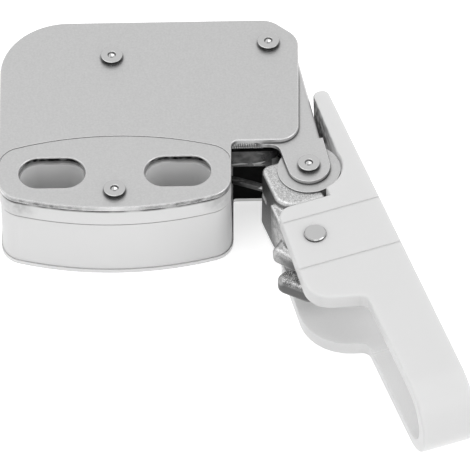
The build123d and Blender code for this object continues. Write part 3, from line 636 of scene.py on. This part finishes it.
# %% Change the shade where a mask says so
def towards(material, value, target, mask):
    """Value moved towards a target by a mask: value + (target - value) mask."""
    blend = material.node_tree.nodes.new("ShaderNodeMix")
    for label, source in (("Factor", mask), ("A", value), ("B", target)):
        feed(material.node_tree, source, blend.inputs[label])
    return blend.outputs["Result"]


def changed(material, value, group, to, mask="Mask", **values):
    """Value moved towards a target where one placed group's mask says so."""
    return towards(material, value, to, placed(material, group, **values)[mask])


def hidden_side(material, centre, radius, direction):
    """Mask of the faces that look one way, near a point."""
    near = placed(material, spot_group, centre=centre, radius=radius)["Mask"]
    side = placed(material, facing_group, direction=direction)["Mask"]
    return maths(material.node_tree, "MULTIPLY", near, side)


# %% End a finish
GLOSS_PATCH = 2.3
GLOSS_LOW = 0.88
GLOSS_HIGH = 1.12


def grey(material, value):
    """Colour with the same value in all three channels."""
    colour = material.node_tree.nodes.new("ShaderNodeCombineColor")
    for channel in ("Red", "Green", "Blue"):
        feed(material.node_tree, value, colour.inputs[channel])
    return colour.outputs["Color"]


def end_finish(material, value, rough, patch, **grain):
    """Link the shade, a gloss that wanders in patches of its own, and the grain's normal."""
    limits = {"low": rough * GLOSS_LOW, "high": rough * GLOSS_HIGH}
    gloss = placed(material, mottle_group, scale=patch * GLOSS_PATCH, **limits)["Value"]
    shader = material.node_tree.nodes["Principled BSDF"]
    feed(material.node_tree, grey(material, value), shader.inputs["Base Color"])
    feed(material.node_tree, gloss, shader.inputs["Roughness"])
    feed(material.node_tree, placed(material, grain_group, **grain)["Normal"], shader.inputs["Normal"])
    print("finish", material.name, "nodes:", len(material.node_tree.nodes))
    return material


# %% [markdown]
# ## Bright zinc plate
# The housing's plates, the yoke and the washers are sheet steel, sheared to shape and then
# plated bright. Their faces are glossy and a little streaked along the rolling direction.
# Their sheared edges are duller. Their rims get a painted highlight, and the crevices and
# deep gaps between them get painted shade, nearly black. Three finishes start in this way:
# plain plate, the top plate with painted shade on the walls of its slots, and the base with
# painted shade on its upward faces in the recess. One function for the start keeps the three
# alike, and one more paints the highlights and shade on the first two.

# %% Lay the plate
PLATE_PATCH = 2600.0
PLATE_GRAIN = {"scale": 2200.0, "stretch": 0.1, "height": 0.1, "edge": 0.15 * MM}


def plated(name, shade):
    """Plated steel with its sheared edges: the material and its value so far."""
    material = new_finish(name, metal=0.85)
    value = mottled(material, shade, spread=0.03, patch=PLATE_PATCH)
    return material, changed(material, value, upright_group, to=0.6)


def painted_light_plate(material, value):
    """Plated steel with a painted highlight on its rims and painted shade in its crevices and depths,
    ended.
    """
    # Painted highlight on sharp rims, then painted shade in crevices and in deep places.
    value = changed(material, value, edge_group, to=1.0, mask="Sharp", radius=0.2 * MM)
    value = changed(material, value, deep_group, to=0.1, reach=0.6 * MM, open=0.85, shut=0.45)
    value = changed(material, value, deep_group, to=0.015, reach=12 * MM)
    return end_finish(material, value, rough=0.4, patch=PLATE_PATCH, **PLATE_GRAIN)


plate_steel = painted_light_plate(*plated("zinc_plated_steel", shade=0.59))

# %% Paint shade on the slots' walls
SLOT_X = (-12.5 * MM, 12.5 * MM)
SLOT_REACH = 16 * MM
SLOT_DARK = 0.01
TO_FRONT = (0.0, -1.0, 0.0)

block_low, block_high = corners("mounting_block")
slot_y = (block_high[1] + block_low[1]) / 2
slot_z = corners("top_plate")[1][2]
slotted_steel, value = plated("slotted_plate_steel", shade=0.575)
for slot_x in SLOT_X:
    # Painted shade on the slot walls that look to the front, in the shadow of the plate.
    wall = hidden_side(slotted_steel, (slot_x, slot_y, slot_z), SLOT_REACH, TO_FRONT)
    value = towards(slotted_steel, value, SLOT_DARK, wall)
slotted_steel = painted_light_plate(slotted_steel, value)

# %% Paint shade on the base in the recess, beyond the block's end
recess_shaded_steel, value = plated("recess_shaded_base_steel", shade=0.59)
# Painted shade, nearly black, on the base's upward faces inside the recess.
value = changed(recess_shaded_steel, value, upward_group, to=0.012, start=block_high[0])
recess_shaded_steel = end_finish(recess_shaded_steel, value, rough=0.4, patch=PLATE_PATCH, **PLATE_GRAIN)

# %% [markdown]
# ## Rivet and spring steel
# Rivet heads are burnished by the tool that closes them, so they mirror the sky above. Their
# upright sides get painted shade, nearly black, and the dimple's floor, which sees little sky,
# gets a painted highlight. Both are masks from the head's own shape, so every rivet shares one
# material and none needs a picture. The spring is plain bright wire.

# %% Polish the rivets
SKIN_PATCH = 80.0

rivet_steel = new_finish("rivet_steel", metal=0.95)
value = mottled(rivet_steel, shade=0.62, spread=0.01, patch=SKIN_PATCH)
# Painted shade on the heads' upright sides.
value = changed(rivet_steel, value, upright_group, to=0.02)
# Painted highlight on the dimple's floor.
value = changed(rivet_steel, value, deep_group, to=1.0, reach=1.5 * MM)
rivet_grain = {"scale": 2600.0, "height": 0.06, "edge": 0.03 * MM}
rivet_steel = end_finish(rivet_steel, value, rough=0.14, patch=SKIN_PATCH, **rivet_grain)

# %% Draw the spring's wire
spring_steel = new_finish("spring_steel", metal=1.0)
value = mottled(spring_steel, shade=0.85, spread=0.03, patch=SKIN_PATCH)
wire_grain = {"scale": 2200.0, "height": 0.05, "edge": 0.05 * MM}
spring_steel = end_finish(spring_steel, value, rough=0.25, patch=SKIN_PATCH, **wire_grain)

# %% [markdown]
# ## Cast zinc
# The claw is as cast and sandy. It gets painted glitter on top, painted shade on its upright
# sides, on the top of its front tooth and in its deep places, and a painted highlight on its
# rounded edges. On the side of its neck the painted shade of the sides is taken off again: that
# patch brings back the skin as it was before the sides were shaded, glitter and all.

# %% Cast the claw's skin
CAST_GRAIN = 7000.0
CAST_PATCH = 4000.0
FRONT_TOOTH_TOP = (35.2 * MM, -22.2 * MM, 10.1 * MM)
NECK_SIDE = (32.6 * MM, -10.5 * MM, 11.5 * MM)

cast_zinc = new_finish("cast_zinc", metal=0.85)
value = mottled(cast_zinc, shade=0.5, spread=0.2, patch=CAST_PATCH)
# Painted shade on the top of the front tooth.
value = changed(cast_zinc, value, spot_group, to=0.08, centre=FRONT_TOOTH_TOP, radius=6 * MM)
# Painted glitter: bright specks where grains catch the light.
skin = changed(cast_zinc, value, speck_group, to=0.8, scale=CAST_GRAIN, rarity=0.6)
# Painted shade on the upright sides, taken off again on the neck's side.
value = changed(cast_zinc, skin, upright_group, to=0.1)
value = changed(cast_zinc, value, spot_group, to=skin, centre=NECK_SIDE, radius=7.5 * MM)
# Painted highlight on rounded edges, then painted shade in deep places.
value = changed(cast_zinc, value, edge_group, to=0.95, mask="Round")
value = changed(cast_zinc, value, deep_group, to=0.12, reach=3 * MM)
cast_grain = {"scale": CAST_GRAIN, "height": 0.6, "edge": 0.2 * MM}
cast_zinc = end_finish(cast_zinc, value, rough=0.4, patch=CAST_PATCH, **cast_grain)

# %% [markdown]
# ## Dark steel
# The slider, the link, the pawl and the small pins work deep in the recess. They are dark
# steel, and painted shade in the recess makes them almost black. A few long painted glints run
# along the travel: specks drawn out along X, the way that the slider runs.

# %% Darken the moving steel with painted shade and paint its glints
DARK_GRAIN = 1500.0
DARK_PATCH = 500.0

dark_steel = new_finish("dark_steel", metal=0.8)
value = mottled(dark_steel, shade=0.1, spread=0.05, patch=DARK_PATCH)
glints = {"scale": DARK_GRAIN, "rarity": 0.85, "stretch": 0.25}
# Painted glints along the travel.
value = changed(dark_steel, value, speck_group, to=0.6, **glints)
# Painted shade deep in the recess.
value = changed(dark_steel, value, deep_group, to=0.008, reach=6 * MM)
dark_grain = {"scale": DARK_GRAIN, "height": 0.3, "edge": 0.2 * MM}
dark_steel = end_finish(dark_steel, value, rough=0.3, patch=DARK_PATCH, **dark_grain)

# %% [markdown]
# ## Mouldings
# The bumper loop and the block are moulded in white plastic. Light goes a little way in and
# comes out again, so the shadows on it are soft. Subsurface scattering does that within the
# skin. On top of it a faint glow of the material's own, which is painted light, lifts the
# loop's hollows, which lamps alone leave too grey. The wall of the loop's finger that looks at
# the yoke lies in deep shade, so painted shade darkens it and it gets none of that glow. Both
# materials get painted shade in their narrow gaps. The block has greyish smudges at both ends
# and a painted shadow line under the top plate. The frame inside the housing is plain black.

# %% Mould the white loop
WHITE_GRAIN = {"scale": 2600.0, "height": 0.05, "edge": 0.3 * MM}
WHITE_GAP_SHADE = {"to": 0.4, "reach": 1.2 * MM}
FINGER_WALL = (41.1 * MM, 19.1 * MM, 10.0 * MM)
FINGER_REACH = 16 * MM
FINGER_DARK = 0.02
TO_YOKE = (-0.943, -0.332, 0.0)

white_plastic = new_finish("white_plastic")
value = mottled(white_plastic, shade=0.66, spread=0.003, patch=SKIN_PATCH)
# Painted shade on the finger's wall that looks at the yoke.
wall = hidden_side(white_plastic, FINGER_WALL, FINGER_REACH, TO_YOKE)
value = towards(white_plastic, value, FINGER_DARK, wall)
# Painted shade in narrow gaps.
value = changed(white_plastic, value, deep_group, **WHITE_GAP_SHADE)
white_plastic = end_finish(white_plastic, value, rough=0.42, patch=SKIN_PATCH, **WHITE_GRAIN)

# %% Scatter light in the loop's skin, and paint a glow into its hollows
GLOW_SHARE = 0.3
GLOW_DEPTH = 3 * MM
LIFT = 0.25
LIFT_REACH = 30 * MM

shader = white_plastic.node_tree.nodes["Principled BSDF"]
shader.inputs["Subsurface Weight"].default_value = GLOW_SHARE
shader.inputs["Subsurface Scale"].default_value = GLOW_DEPTH
shader.inputs["Subsurface Radius"].default_value = (1.0, 1.0, 1.0)
# Painted light: a glow of the material's own in the loop's hollows, none on the shaded finger wall.
hollow = placed(white_plastic, deep_group, reach=LIFT_REACH, open=0.6, shut=0.1)["Mask"]
lift = maths(white_plastic.node_tree, "MULTIPLY", hollow, LIFT)
lift = towards(white_plastic, lift, 0.0, wall)
feed(white_plastic.node_tree, grey(white_plastic, lift), shader.inputs["Emission Color"])
shader.inputs["Emission Strength"].default_value = 1.0
print("light in a hollow, at most:", LIFT)

# %% Mould the block
SHADOW_LINE_DROP = 0.35 * MM
SHADOW_LINE_WIDTH = 0.5 * MM

block_front, block_top = block_low[1], block_high[2]
smudges = {
    (block_low[0] + 4 * MM, block_front + 3.5 * MM, block_top - 1 * MM): 4.5 * MM,
    (block_high[0] - 3 * MM, block_front + 4.5 * MM, block_top - 1 * MM): 4 * MM,
}
block_plastic = new_finish("block_plastic")
value = mottled(block_plastic, shade=0.72, spread=0.003, patch=SKIN_PATCH)
for centre, radius in smudges.items():
    value = changed(block_plastic, value, spot_group, to=0.5, centre=centre, radius=radius)
# Painted shadow: a thin dark line just under the top plate, where the plate shades the block.
under_plate_shadow = {"height": block_top - SHADOW_LINE_DROP, "width": SHADOW_LINE_WIDTH}
value = changed(block_plastic, value, shadow_line_group, to=0.01, **under_plate_shadow)
# Painted shade in narrow gaps.
value = changed(block_plastic, value, deep_group, **WHITE_GAP_SHADE)
block_plastic = end_finish(block_plastic, value, rough=0.42, patch=SKIN_PATCH, **WHITE_GRAIN)

# %% Mould the inner frame
black_plastic = new_finish("black_plastic")
value = mottled(black_plastic, shade=0.01, spread=0.002, patch=SKIN_PATCH)
black_grain = {"scale": 2200.0, "height": 0.15, "edge": 0.2 * MM}
black_plastic = end_finish(black_plastic, value, rough=0.5, patch=SKIN_PATCH, **black_grain)

# %% [markdown]
# ## Each piece gets its finish
# The record names a material slot for every sub-part, and each slot has a finish of the
# same name. Four sub-parts differ from the rest of their slot: the top plate has painted shade
# on its slots' walls, the base has painted shade in the recess, the block has its smudges and
# its painted shadow line, and the pivot's sleeve is plated.

# %% Give every node and piece its finish
slot_finish = {
    "zinc_plated_steel": plate_steel,
    "rivet_steel": rivet_steel,
    "spring_steel": spring_steel,
    "cast_zinc": cast_zinc,
    "dark_steel": dark_steel,
    "white_plastic": white_plastic,
    "black_plastic": black_plastic,
}
own_finish = {
    "top_plate": slotted_steel,
    "bottom_plate": recess_shaded_steel,
    "mounting_block": block_plastic,
    "pivot_sleeve": plate_steel,
}
for part in frame["record"]["subparts"]:
    node_mesh = frame["nodes"][part["node"]].data
    node_mesh.materials.clear()
    node_mesh.materials.append(own_finish.get(part["node"], slot_finish[part["material_slot"]]))
for piece in rivets:
    piece.data.materials.append(rivet_steel)
for piece in (return_spring, spring_eye):
    piece.data.materials.append(spring_steel)
cast_claw.data.materials.append(cast_zinc)
print("finishes:", len(slot_finish), "for slots and", len(own_finish), "nodes with their own")

# %% [markdown]
# ## The floor
# The catch lies on a pale sheet. It has to show as plain white and still take the catch's
# shadow. More light would wash the catch out, so the floor's material adds the missing
# light only where the camera or a glossy reflection looks at it. From below it is clear,
# so that the underside can be looked at too.

# %% Make the floor's finish
FLOOR_SHADE = 0.85
FLOOR_LIFT = 0.55


def floor_finish():
    """White to the camera and to glossy rays, plain pale grey to other light, clear from below."""
    material = bpy.data.materials.new("pale_floor")
    material.use_nodes = True
    tree = material.node_tree
    shader = tree.nodes["Principled BSDF"]
    shader.inputs["Base Color"].default_value = (FLOOR_SHADE, FLOOR_SHADE, FLOOR_SHADE, 1.0)
    shader.inputs["Roughness"].default_value = 0.9
    shader.inputs["Specular IOR Level"].default_value = 0.0
    shader.inputs["Emission Color"].default_value = (1.0, 1.0, 1.0, 1.0)
    ray = tree.nodes.new("ShaderNodeLightPath").outputs
    seen = maths(tree, "MAXIMUM", ray["Is Camera Ray"], ray["Is Glossy Ray"])
    feed(tree, maths(tree, "MULTIPLY", seen, FLOOR_LIFT), shader.inputs["Emission Strength"])
    clear = tree.nodes.new("ShaderNodeBsdfTransparent")
    side = tree.nodes.new("ShaderNodeNewGeometry")
    from_below = tree.nodes.new("ShaderNodeMixShader")
    tree.links.new(side.outputs["Backfacing"], from_below.inputs["Fac"])
    tree.links.new(shader.outputs["BSDF"], from_below.inputs[1])
    tree.links.new(clear.outputs["BSDF"], from_below.inputs[2])
    tree.links.new(from_below.outputs["Shader"], tree.nodes["Material Output"].inputs["Surface"])
    return material


# %% Lay the floor
FLOOR_HALF = 3.0
FLOOR_GAP = 0.05 * MM

floor_z = cad_bounds[0][2] - FLOOR_GAP
floor_signs = [(-1, -1), (1, -1), (1, 1), (-1, 1)]
floor_corners = [(x * FLOOR_HALF, y * FLOOR_HALF, floor_z) for x, y in floor_signs]
floor_mesh = bpy.data.meshes.new("floor")
floor_mesh.from_pydata(floor_corners, [], [(0, 1, 2, 3)])
floor_mesh.materials.append(floor_finish())
floor = bpy.data.objects.new("floor", floor_mesh)
bpy.context.scene.collection.objects.link(floor)
print("floor in mm: at height", round(floor_z / MM, 2))

# %% [markdown]
# ## The light
# Bright metal shows what is round it more than its own colour. So most of the light is a
# pale world on every side, which gives the plates something even to reflect. Three large
# soft lamps add the slight shadows: one above, one from the right and a weaker one from the
# front. Small hard lamps would put burnt spots on the rivets.

# %% Fill the room with pale light
ROOM_STRENGTH = 0.85

world = bpy.data.worlds.new("pale_room")
bpy.context.scene.world = world
world.use_nodes = True
room = world.node_tree.nodes["Background"]
room.inputs["Color"].default_value = (1.0, 1.0, 1.0, 1.0)
room.inputs["Strength"].default_value = ROOM_STRENGTH
print("room's strength:", ROOM_STRENGTH)

# %% Hang three soft lamps
LAMP_TARGET = Vector((20 * MM, -10 * MM, 0.0))
LAMPS = {
    "overhead_softbox": {"place": (-0.25, 0.1, 0.8), "size": 0.6, "power": 1.4},
    "right_softbox": {"place": (0.7, -0.3, 0.35), "size": 0.5, "power": 1.3},
    "front_softbox": {"place": (0.1, -0.7, 0.6), "size": 0.5, "power": 0.6},
}


def add_lamp(name, place, size, power):
    """Square soft lamp at a place, turned to face the catch."""
    lamp = bpy.data.lights.new(name, "AREA")
    lamp.size = size
    lamp.energy = power
    holder = bpy.data.objects.new(name, lamp)
    holder.location = place
    holder.rotation_euler = (LAMP_TARGET - Vector(place)).to_track_quat("-Z", "Y").to_euler()
    bpy.context.scene.collection.objects.link(holder)
    print(name, "watts:", power)


for name, lamp in LAMPS.items():
    add_lamp(name, **lamp)

# %% [markdown]
# ## The camera
# The camera looks down at a steep angle and is rolled a little. A very long lens from far
# away keeps parallel edges parallel. The turn, the drop and the roll are three angles, and
# the camera's own right, up and backward directions are worked out from them.

# %% Work out which way the camera looks
CAMERA_TURN = math.radians(-1.6)
CAMERA_DROP = math.radians(48.0)
CAMERA_ROLL = math.radians(-2.13)

heading = Vector((math.sin(CAMERA_TURN), math.cos(CAMERA_TURN), 0.0))
forward = heading * math.cos(CAMERA_DROP) - Vector((0.0, 0.0, math.sin(CAMERA_DROP)))
level = Vector((math.cos(CAMERA_TURN), -math.sin(CAMERA_TURN), 0.0))
upright = level.cross(forward)
right = level * math.cos(CAMERA_ROLL) + upright * math.sin(CAMERA_ROLL)
up = upright * math.cos(CAMERA_ROLL) - level * math.sin(CAMERA_ROLL)
print("camera looks along", [round(part, 3) for part in forward])

# %% Place the camera
CAMERA_DISTANCE = 2.5
VIEW_WIDTH = 93.5 * MM
VIEW_END = 10.0
AIM = Vector((23.68 * MM, -8.65 * MM, 9.75 * MM))

lens = bpy.data.cameras.new("long_lens")
lens.lens = lens.sensor_width * CAMERA_DISTANCE / VIEW_WIDTH
lens.clip_end = VIEW_END
camera = bpy.data.objects.new("long_lens", lens)
spin = Matrix((right, up, -forward)).transposed().to_4x4()
camera.matrix_world = Matrix.Translation(AIM - forward * CAMERA_DISTANCE) @ spin
bpy.context.scene.collection.objects.link(camera)
bpy.context.scene.camera = camera
bpy.context.scene.view_settings.view_transform = "Standard"
print("lens in mm:", round(lens.lens))
